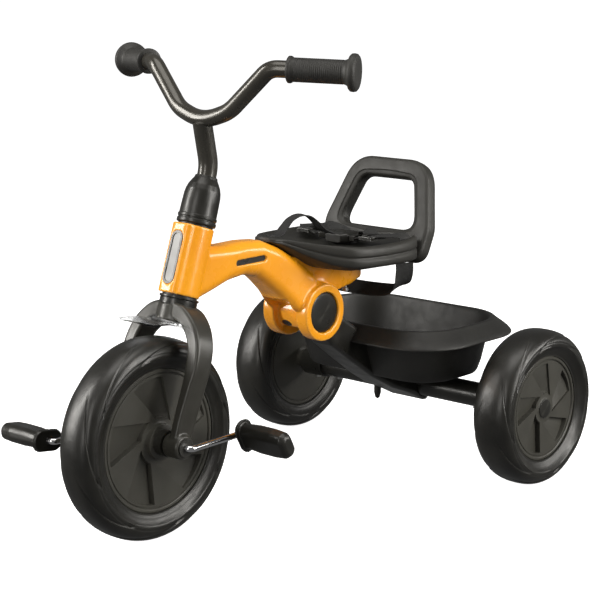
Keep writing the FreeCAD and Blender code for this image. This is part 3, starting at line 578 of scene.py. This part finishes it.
def wheel_face(name, centre, side, seat, face, hub, hub_reach, bore, body, node, depth):
    """A moulded wheel half: hub boss, face with ramped pockets, and a raised rim."""
    inner, outer = hub + 7.0, seat - 10.0
    rows = [(bore, hub_reach - 0.5, 0), (bore + 0.5, hub_reach, 0), (hub - 0.8, hub_reach, 0),
            (hub - 0.2, hub_reach - 0.3, 0), (hub + 0.3, face, 0), (hub + 1.5, face - 0.6, 0),
            (inner - 1.2, face - 0.6, 0), (inner, face - 0.6, 0), (inner + 0.7, face - 0.6, 0.9)]
    for step in range(1, 18):
        rows.append((inner + 0.7 + (outer - 1.4 - inner) * step / 17, face - 0.6, 1))
    rows += [(outer, face - 0.6, 0), (outer + 1.2, face - 0.6, 0), (seat - 7.2, face - 0.7, 0),
             (seat - 6.6, face - 1.6, 0), (seat - 5.4, face - 1.6, 0), (seat - 4.8, face, 0),
             (seat - 3.9, face + 0.6, 0), (seat - 1.6, face + 0.6, 0), (seat - 0.9, face - 0.1, 0),
             (seat, face - 0.8, 0), (seat, face - 12, 0), (bore, face - 12, 0)]
    table = []
    for radius, height, deep in rows:
        row = []
        for degrees, share in pocket_lines(outer, inner, radius):
            angle = math.radians(degrees if side > 0 else 180 - degrees)
            row.append(wheel_point(centre, side * (height - depth * deep * share), radius, angle))
        table.append(row)
    rings = [list(line) for line in zip(*table)]
    verts, faces = skin(rings, around=True)
    piece = make_piece(name, verts, faces, "black_plastic", body, (node,), sharp_deg=32)
    # painted light: a lighter copy of the black plastic for the wheel face
    piece.data.materials[0] = DISC_PAINTED_LIGHT_BLACK


def lathed(name, outline, origin, axis, finish, body, replaced, radius=0.8, closed=True):
    """A turned piece with softened edges."""
    verts, faces = turned(soften(outline, radius, closed=closed), origin, axis, closed=closed)
    return make_piece(name, verts, faces, finish, body, replaced, sharp_deg=50)


def make_wheels():
    foam_tyre("front_tyre_skin", FRONT_AXLE, 125.0, 56.0, 89.0, 21.0, 104.0, 8, "front_wheel", "front_tyre")
    for side, word in SIDES:
        wheel_face("front_wheel_face_" + word, FRONT_AXLE, side, 89.0, 20.0, 22.0, 27.0, 10.0,
                   "front_wheel", "front_disc_" + word, 7.0)
        centre = Vector((side * REAR_AXLE_LEFT.x, REAR_AXLE_LEFT.y, REAR_AXLE_LEFT.z))
        body = "rear_wheel_" + word
        foam_tyre("rear_tyre_skin_" + word, centre, 105.0, 59.0, 71.0, 20.3, 86.0, 8, body,
                  "rear_tyre_" + word)
        wheel_face("rear_wheel_face_" + word, centre, side, 71.0, 19.3, 13.0, 19.7, 7.9, body,
                   "rear_disc_outer_" + word, 7.0)
        wheel_face("rear_wheel_back_" + word, centre, -side, 71.0, 19.3, 13.0, 31.6, 8.0, body,
                   "rear_disc_inner_" + word, 0.0)
        lathed("wheel_plug_" + word, [(0.02, 21.5), (8, 21.3), (12.6, 20.7), (13, 19.7), (0.02, 19.5)],
               centre, X * side, "black_plastic", body, ("axle_cap_" + word,), closed=False)


# ---- frame -------------------------------------------------------------------------
def hinge_polar(point):
    """Distance from the hinge axis in millimetres, and degrees about it (0 back, 90 up)."""
    y, z = (point.y - HINGE.y) / MM, (point.z - HINGE.z) / MM
    return math.hypot(y, z), math.degrees(math.atan2(z, y)) % 360


def frame_shape(point):
    """Open up the barrel below the spine, and press a shallow dish into each wing."""
    radius, angle = hinge_polar(point)
    x = abs(point.x) / MM
    if x < 19.4 and BARREL_RADIUS < radius < 62 and 148 < angle < 250:
        target = BARREL_RADIUS + (radius - BARREL_RADIUS) * (1 - ease(angle, 150, 162))
        scale = target / radius
        point = Vector((point.x, HINGE.y + (point.y - HINGE.y) * scale,
                        HINGE.z + (point.z - HINGE.z) * scale))
    dish = Vector((26.0, 44.0, 287.0)) - Vector((x, point.y / MM, point.z / MM))
    if x > 14 and dish.length < 13:
        point.x -= math.copysign(2.6 * (1 - (dish.length / 13) ** 2) ** 2 * MM, point.x)
    return point


def frame_weight(point):
    """Where the long smoothing works: the spine and the wings, but not the cups or the head tube."""
    radius = hinge_polar(point)[0]
    out = point - FRONT_AXLE
    along = out.dot(STEER_UP)
    off_axis = (out - STEER_UP * along).length / MM
    keep_slot = 1 - ease(abs(point.y / MM + 77), 30, 36)
    low = abs(point.z / MM - 323.7)
    near_slot = keep_slot * (1 - ease(low, 6, 10)) * ease(abs(point.x) / MM, 10, 13)
    tube = ease(along / MM, 179, 184) * (1 - ease(along / MM, 256, 261))
    return ease(radius, 40, 48) * max(ease(off_axis, 26, 36), tube) * (1 - near_slot)


def make_frame():
    moulded("orange_frame", ["main_frame"], 0.0015, 8, "frame_orange", "frame", ("main_frame",),
            frame_shape, frame_weight, 60)
    for side, word in SIDES:
        lathed("hinge_button_" + word, [(0.02, 37.2), (10, 37.1), (20, 36.8), (24.2, 36.3), (26.3, 35),
                                        (26.3, 31),
                                        (0.02, 31)],
               HINGE, X * side, "black_plastic", "button_%s_body" % word, ("fold_button_" + word,), 1.0,
               False)
    rings = []                 # painted shade: a dark patch on the hinge barrel, standing in for the shaded hollow of its opening
    for radius, lift in ((0.02, 0.35), (0.55, 0.35), (0.85, 0.3), (1.0, -0.3)):
        ring = []
        for step in range(48):
            turn = 2 * math.pi * step / 48
            across, around = 9.0 * radius * math.cos(turn), 6.0 * radius * math.sin(turn)
            angle = math.radians(216) + around / BARREL_RADIUS
            reach = (BARREL_RADIUS + lift) * MM
            ring.append(HINGE + Vector((-8.5 * MM + across * MM, reach * math.cos(angle),
                                        reach * math.sin(angle))))
        rings.append(ring)
    verts, faces = skin(rings)
    make_piece("hinge_opening_painted_shade", verts, faces, "black_plastic", "frame")


# ---- seat and backrest ------------------------------------------------------------
def make_saddle():
    """The saddle: a dished top, a two-band lip and a flat belly."""
    stations = [
        (-36, 12, 345.5, 341.5, 341, 346.4), (-31, 18, 345, 339.5, 339, 346),
        (-18, 23, 343.5, 335, 332, 343.5),
        (4, 42, 338.5, 321, 317, 336), (26, 70, 334.5, 309, 304, 329), (50, 91, 332, 304.5, 299, 323),
        (90, 99, 331, 303, 298, 320.5), (140, 97, 331, 301.5, 297, 322), (166, 90, 332.5, 301, 296.5, 327),
        (172, 86, 332.5, 303, 298, 328),
    ]
    rings = []
    for y, half, rim, lip, belly, crown in between(stations, 8):
        tall = rim - lip
        right = [(0.10, belly), (0.5, belly), (0.80, belly + 0.25 * (lip - belly)), (0.90, lip - 0.5),
                 (0.955, lip),
                 (0.985, lip + 0.05 * tall), (0.998, lip + 0.14 * tall), (1.0, lip + 0.30 * tall),
                 (0.995, lip + 0.40 * tall), (0.980, lip + 0.44 * tall), (0.978, lip + 0.50 * tall),
                 (0.992, lip + 0.54 * tall), (0.997, lip + 0.62 * tall), (0.990, lip + 0.82 * tall),
                 (0.975, lip + 0.94 * tall), (0.950, rim), (0.915, rim + 0.001), (0.885, rim - 0.08 * tall),
                 (0.84, rim - 0.5 * (rim - crown)), (0.70, crown + 0.26 * (rim - crown)),
                 (0.45, crown + 0.07 * (rim - crown)), (0.15, crown)]
        ring = [Vector((share * half, y, z)) * MM for share, z in right]
        ring += [Vector((-share * half, y, z)) * MM for share, z in reversed(right)]
        rings.append(ring)
    verts, faces = skin(rings)
    piece = make_piece("saddle_shell", verts, faces, "black_plastic", "frame", ("seat_pan",), sharp_deg=50)
    piece.data.materials[0] = MATT_BLACK


def ray_out(outline, centre, angle):
    """Where a ray from the centre leaves a closed outline."""
    way = (math.cos(angle), math.sin(angle))
    best = 0.0
    for index, first in enumerate(outline):
        second = outline[(index + 1) % len(outline)]
        ax, ay = first[0] - centre[0], first[1] - centre[1]
        bx, by = second[0] - centre[0], second[1] - centre[1]
        ex, ey = bx - ax, by - ay
        turn = way[0] * ey - way[1] * ex
        if abs(turn) < 1e-9:
            continue
        reach = (ax * ey - ay * ex) / turn
        share = (ax * way[1] - ay * way[0]) / turn
        if reach > best and -1e-6 <= share <= 1 + 1e-6:
            best = reach
    return (centre[0] + way[0] * best, centre[1] + way[1] * best)


def make_backrest():
    """The hoop: round outer edges, and a stepped bevel round the opening."""
    lean = math.radians(HOOP_LEAN_DEG)
    up, back = Vector((0, math.sin(lean), math.cos(lean))), Vector((0, math.cos(lean), -math.sin(lean)))
    base = Vector(HOOP_BASE) * MM
    outer = soften([(-88, -3), (88, -3), (91, 44), (64, 136), (-64, 136), (-91, 44)], 44, 12, True)
    inner = soften([(-66, 39), (66, 39), (44, 109), (-44, 109)], 17, 12, True)
    centre = (0.0, 72.0)
    rings = []
    for step in range(280):
        angle = 2 * math.pi * step / 280
        first, last = Vector(ray_out(outer, centre, angle)), Vector(ray_out(inner, centre, angle))
        wide = (last - first).length
        way = (last - first).normalized()
        section = [(0, 11), (0, 6), (0.5, 3.2), (1.7, 1.3), (3.6, 0.3), (6, 0), (wide * 0.5, 0),
                   (wide - 9.5, 0),
                   (wide - 8.6, 0.2), (wide - 8.1, 1.0), (wide - 7.2, 1.4), (wide - 4.2, 1.9),
                   (wide - 2.0, 3.0),
                   (wide - 0.6, 5.0), (wide, 8), (wide, 14), (wide - 0.7, 18), (wide - 2.2, 20.6),
                   (wide - 4.8, 21.8), (wide - 8, 22), (8, 22), (4.5, 21.6), (2.0, 20), (0.5, 17.2), (0, 14)]
        ring = []
        for reach, deep in section:
            flat = first + way * reach
            ring.append(base + X * (flat.x * MM) + up * (flat.y * MM) + back * (deep * MM))
        rings.append(ring)
    verts, faces = skin(rings, around=True)
    piece = make_piece("hoop_backrest", verts, faces, "black_plastic", "frame", ("backrest",), sharp_deg=50)
    piece.data.materials[0] = MATT_BLACK


# ---- steering ----------------------------------------------------------------------
def make_fork():
    """Fork legs swept over the crown, with axle bosses and a round neck."""
    stations = [
        (53, 0, 90, 6.5, 13), (54.5, 34, 88, 6.5, 14.5), (56.5, 70, 89, 7.5, 14.5), (57, 96, 95, 9, 14),
        (53.5, 119, 112, 9.5, 14.5), (44, 138, 138, 9.5, 16), (28, 152.5, 157, 9.5, 18),
        (12, 158, 172, 9.5, 20), (0, 159, 180, 9.5, 21),
    ]
    shells = []
    for side in (1, -1):
        rings = []
        for x, along, heading, half_thick, half_depth in between(stations, 6):
            angle = math.radians(heading)
            normal = (X * side * math.sin(angle) - STEER_UP * math.cos(angle)).normalized()
            rings.append(rounded_ring(column(along, 0, side * x), normal, STEER_BACK, half_thick,
                                      half_depth, 3.5, 6))
        shells.append(skin(rings))
        shells.append(turned(soften([(0.02, 40), (14.2, 40), (15, 42), (15, 62), (14, 65), (0.02, 65)], 1.2),
                             FRONT_AXLE, X * side))
        shells.append(turned([(0.02, 38), (11, 38), (11, 41), (0.02, 41)], FRONT_AXLE, X * side))
    shells.append(turned([(0.02, 143.8), (22, 143.8), (23.2, 146), (23.2, 163.8), (0.02, 163.8)],
                         FRONT_AXLE, STEER_UP))
    piece = moulded("fork_skin", shells, 0.0013, 10, "black_plastic", "steering", ("fork",))
    # painted light: a lighter copy of the black plastic for the fork
    piece.data.materials[0] = FORK_PAINTED_LIGHT_BLACK


def make_column():
    lathed("collar_skin", [(14, 0), (23.2, 0), (23.2, 7.2), (22.6, 7.8), (24.4, 8.4), (24.4, 11), (14, 11)],
           column(164), STEER_UP, "black_plastic", "steering", ("lower_collar",), 0.5)
    low = 265.6
    lathed("boot_skin", [(14, low), (23.8, low), (24.4, low + 1.2), (24.4, low + 4.6), (23.4, low + 5.4),
                         (23.4, low + 6.6), (24.3, low + 7.4), (24.3, low + 10.4), (23.3, low + 11.2),
                         (23.0, 290), (22.6, 302), (21.6, 308), (19.6, 314), (16.8, 319), (14.6, 322.5),
                         (13.6, 325.8), (12.1, 325.8), (12.1, 300), (14, 296)],
           FRONT_AXLE, STEER_UP, "black_plastic", "steering", ("stem_boot",), 0.7)


def make_grips():
    """Rubber grips with fine rings and a wide outer flange."""
    for side, word in SIDES:
        mirror = Vector((side, 1, 1)) * MM
        elbow = Vector(BAR_ELBOW) * mirror
        tip = Vector(BAR_TIP) * mirror
        start = elbow + (tip - elbow) * 0.223
        end = elbow + (tip - elbow) * 1.0174
        long = (end - start).length / MM
        outline = [(10.35, 0), (15.0, 0), (16.0, 0.8), (16.1, 3.4), (15.3, 4.8), (14.3, 5.6)]
        for ring in range(24):
            base = 8 + ring * (long - 22) / 24
            step = (long - 22) / 24
            outline += [(14.35, base), (14.35, base + step * 0.55), (14.05, base + step * 0.68),
                        (14.05, base + step * 0.87)]
        outline += [(14.6, long - 12), (16.4, long - 8.4), (20.6, long - 6.6), (22.1, long - 5),
                    (22.4, long - 2),
                    (21.8, long + 0.8), (20.0, long + 2.4), (14.0, long + 3), (8.0, long + 2.6),
                    (0.02, long + 2.4)]
        verts, faces = turned(outline, start, end - start, 72)
        make_piece("grip_skin_" + word, verts, faces, "grip_rubber", "steering", ("grip_" + word,), 60)


def make_pedals():
    for side, word in SIDES:
        moulded("pedal_skin_" + word, ["pedal_" + word], 0.0009, 8, "black_plastic", "pedal_%s_body" % word,
                ("pedal_" + word,))


# ---- rear carriage -----------------------------------------------------------------
def tub_ring(half_x, half_y, corner, z, count=26):
    """A ring of the storage tub, in the row frame."""
    centre = Vector((0, TUB_Y, z)) * MM
    return rounded_ring(centre, X, Y, half_x, half_y, corner, count)


def arm_top(y):
    """Height of the rear arm's upper face, in metres, at a place along the tricycle."""
    arm = Vector((0, REAR_AXLE_LEFT.y, REAR_AXLE_LEFT.z)) - HINGE
    up = X.cross(arm.normalized())
    start = HINGE + up * 17.4 * MM
    return start.z + (y - start.y) * arm.z / arm.y


def over_arm(point, gap, half):
    """Lift a point of the tub clear of the arm."""
    reach = 1 - ease(abs(point.x) / MM, half, half + 3.5)
    lift = arm_top(point.y) + gap * MM - point.z
    if lift > 0 and reach > 0:
        point = point + Z * lift * reach
    return point


def make_tub():
    """The storage tub: one shell over the wall, the rim, the skirt and the floor."""
    inside = [(20, 10, 9, 135), (60, 30, 24, 135), (96, 50, 36, 135), (108, 60, 42, 135.3),
              (113, 65, 46, 137.5),
              (116, 68, 49, 142), (121, 74, 53, 155), (124.5, 80, 56.5, 172), (127.5, 86, 60, 190),
              (129.5, 89.5, 63, 204), (130.4, 90.6, 64, 207.6), (131.4, 91.6, 65, 208.8)]
    rim = [(133, 93.3, 66, 209.3), (136.3, 96.4, 69, 209.2), (137.6, 97.6, 70, 208.7),
           (138.3, 98.3, 70, 207.8)]
    skirt = [(142.5, 102.5, 72, 203.9), (148.5, 108.5, 75, 198.8), (153.8, 113.8, 78, 194.0),
             (156.5, 116.5, 80, 190.8),
             (157.4, 117.4, 80, 188.8), (157.2, 117.2, 80, 188.0), (155.6, 115.6, 79, 187.8),
             (153.4, 113.4, 77, 190.0),
             (148, 108, 74, 195.5), (141, 101, 70, 202.0), (134, 94, 66, 205.2)]
    outside = [(131.5, 90.6, 64, 202), (130.2, 88.6, 62.4, 190), (127.4, 83.6, 59.4, 172),
               (124, 77.4, 56, 150),
               (120, 72.4, 52, 137), (117.5, 69.6, 49.6, 133.4), (113, 65, 46, 132), (96, 50, 36, 132),
               (60, 30, 24, 132), (20, 10, 9, 132)]
    rim_edge = tub_ring(133, 93.3, 66, 206)
    rings = []
    for half_x, half_y, corner, z in inside:
        rings.append([over_arm(point, 3.4, 32) for point in tub_ring(half_x, half_y, corner, z)])
    for row in rim:
        rings.append(tub_ring(*row))
    for row in skirt:
        ring = []
        for point, edge in zip(tub_ring(*row), rim_edge):
            notch = (1 - ease(abs(point.x) / MM, 23.0, 26.0)) * (1 if point.y < 0.2 else 0)
            ring.append(point.lerp(edge, notch))
        rings.append(ring)
    for half_x, half_y, corner, z in outside:
        ring = []
        for point in tub_ring(half_x, half_y, corner, z):
            raised = over_arm(point, 0.4, 29)
            raised.z = min(raised.z, 204.5 * MM)
            ring.append(raised)
        rings.append(ring)
    verts, faces = skin(rings)
    piece = make_piece("storage_tub", verts, faces, "black_plastic", "rear_carriage", ("basket",),
                       sharp_deg=55)
    # painted shade: a darker copy of the black plastic for the tub
    piece.data.materials[0] = TUB_PAINTED_SHADE_BLACK


def make_carriage():
    moulded("arm_skin", ["rear_arm"], 0.0014, 12, "black_plastic", "rear_carriage", ("rear_arm",))
    make_tub()


# ---- harness -----------------------------------------------------------------------
def webbing(name, points, across, half, body, replaced, thick=0.8, steps=8, ripple=0.0):
    """A woven strap with thick selvedges along a smooth line."""
    rows = [tuple(point) + tuple(way) for point, way in zip(points, across)]
    line = between(rows, steps)
    rings = []
    for index, row in enumerate(line):
        here = Vector(row[:3])
        before = Vector(line[max(index - 1, 0)][:3])
        after = Vector(line[min(index + 1, len(line) - 1)][:3])
        side = Vector(row[3:]).normalized()
        normal = side.cross(after - before).normalized()
        side = (after - before).normalized().cross(normal).normalized()
        wave = ripple * math.sin(index * 0.9) * (1 if 0 < index < len(line) - 1 else 0)
        shape = [(-1, 0), (-0.97, 0.9), (-0.90, 1.15), (-0.84, 0.85), (-0.4, 0.8), (0, 0.8), (0.4, 0.8),
                 (0.84, 0.85),
                 (0.90, 1.15), (0.97, 0.9), (1, 0), (0.97, -0.9), (0.90, -1.15), (0.84, -0.85), (0.4, -0.8),
                 (0, -0.8), (-0.4, -0.8), (-0.84, -0.85), (-0.90, -1.15), (-0.97, -0.9)]
        ring = []
        for share, high in shape:
            curl = wave * math.cos(share * 2.2)
            ring.append((here + side * share * half + normal * (high * thick + curl)) * MM)
        rings.append(ring)
    verts, faces = skin(rings)
    piece = make_piece(name, verts, faces, "webbing", body, replaced, sharp_deg=60)
    along = np.cumsum([0.0] + [math.dist(a[:3], b[:3]) for a, b in zip(line, line[1:])])
    layer = piece.data.uv_layers.new(name="metres")
    for loop in piece.data.loops:
        row, place = divmod(loop.vertex_index, len(shape))
        layer.data[loop.index].uv = (shape[place][0] * half * MM, along[min(row, len(along) - 1)] * MM)
    return piece


def make_harness():
    turn = [0, 0, -2, -8, -14, -16, -14, -8, -2, 0]
    route = [(-22, 346.6), (-12, 345.4), (-4, 347.6), (5, 355.0), (16, 363.0), (32, 367), (49, 364.5),
             (63, 356.0),
             (77, 344), (97, 335)]
    across = [(math.cos(math.radians(a)), math.sin(math.radians(a)), 0) for a in turn]
    webbing("crotch_webbing", [(0, y, z) for y, z in route], across, 8.5, "frame", ("crotch_strap",))
    for side, word in SIDES:
        route = [(33.5, 115, 331), (44, 116, 333.6), (55, 118.5, 335), (65, 125, 335.8), (73, 134, 335.6),
                 (79, 142, 334.4), (83, 147, 329), (84, 148, 319), (84, 148, 303)]
        widths = [(0, 1), (-0.15, 1), (-0.35, 0.93), (-0.55, 0.83), (-0.55, 0.83), (-0.3, 0.95), (0.2, 0.97),
                  (0.5, 0.85), (0.5, 0.85)]
        points = [(side * x, y, z) for x, y, z in route]
        ways = [(side * x, y, 0) for x, y in widths]
        webbing("lap_webbing_" + word, points, ways, 12.5, "frame", ("lap_strap_" + word,), ripple=0.25)
        tail = [(side * 52, 119, 337.2), (side * 44, 122, 339.6), (side * 34, 128, 338.6),
                (side * 22, 136, 332.0),
                (side * 12, 142, 326.6), (side * 2, 146, 324.2)]
        ways = [(0, 1, 0), (side * -0.1, 1, 0), (side * -0.3, 1, 0.05), (side * -0.5, 0.9, 0.1),
                (side * -0.6, 0.85, 0.1), (side * -0.65, 0.8, 0.05)]
        webbing("strap_tail_" + word, tail, ways, 12.0, "frame", (), ripple=0.5)
    left = [(84.2, 148, 299), (84.3, 148, 286), (80, 148, 271.5), (65, 148, 261.0), (38, 148, 257.4)]
    lower = [(-x, y, z) for x, y, z in left] + [(0, 148, 256.4)] + left[::-1]
    ways = [(0.5, 0.85, 0), (0.5, 0.85, 0), (0.42, 0.85, 0.25), (0.25, 0.83, 0.5), (0.1, 0.8, 0.6)]
    lower_ways = [(-x, y, z) for x, y, z in ways] + [(0, 0.8, 0.6)] + ways[::-1]
    webbing("under_webbing", lower, lower_ways, 12.5, "frame", ("under_strap",))
    moulded("buckle_shell", ["buckle_body"], 0.0007, 6, "black_plastic", "frame", ("buckle_body",),
            buckle_shape)
    for side, word in SIDES:
        moulded("buckle_tongue_shell_" + word, ["buckle_tongue_" + word], 0.0006, 5, "black_plastic",
                "frame",
                ("buckle_tongue_" + word,))
        piece = moulded("adjuster_shell_" + word, ["strap_adjuster_" + word], 0.0005, 4, "black_plastic",
                        "frame",
                        ("strap_adjuster_" + word,))
        # painted highlight: the adjuster's edges are lightened to near white
        piece.data.materials[0] = ADJUSTER_EDGE_HIGHLIGHT


def buckle_shape(point):
    """Press a shallow round button, ringed by a groove, into the buckle's top."""
    x, y = point.x / MM - 4, point.y / MM - 112
    if point.z > 0.3345:
        reach = math.hypot(x, y * 1.2)
        point.z -= 1.1 * groove(reach - 9, 1.4) * MM
        point.z += 0.6 * (1 - ease(reach, 4, 9)) * MM
    return point


def make_springs():
    """A coil behind each hinge button, standing for the CAD stand-in.

    It flattens further under the pressed button than three turns of this wire could.
    """
    for side, word in SIDES:
        rings = []
        last = COIL_TURNS * COIL_STEPS
        for step in range(last + 1):
            turn = 2 * math.pi * step / COIL_STEPS
            out = (Y * math.cos(turn) + Z * math.sin(turn)).normalized()
            along = COIL_START + COIL_LENGTH * step / last
            centre = HINGE + (out * COIL_RADIUS + X * side * along) * MM
            ring = []
            for part in range(10):
                angle = 2 * math.pi * part / 10
                ring.append(centre + (out * math.cos(angle) + X * math.sin(angle)) * COIL_WIRE * MM)
            rings.append(ring)
        verts, faces = skin(rings)
        coil = make_piece("button_coil_" + word, verts, faces, "zinc_steel", "frame",
                          ("button_spring_" + word,),
                          sharp_deg=80)
        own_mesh(coil)


make_wheels()
make_frame()
make_springs()
make_saddle()
make_backrest()
make_fork()
make_column()
make_grips()
make_pedals()
make_carriage()
make_harness()
paint_nodes()
make_stage()
make_lights()
make_camera()
bpy.context.scene.view_settings.view_transform = "Standard"
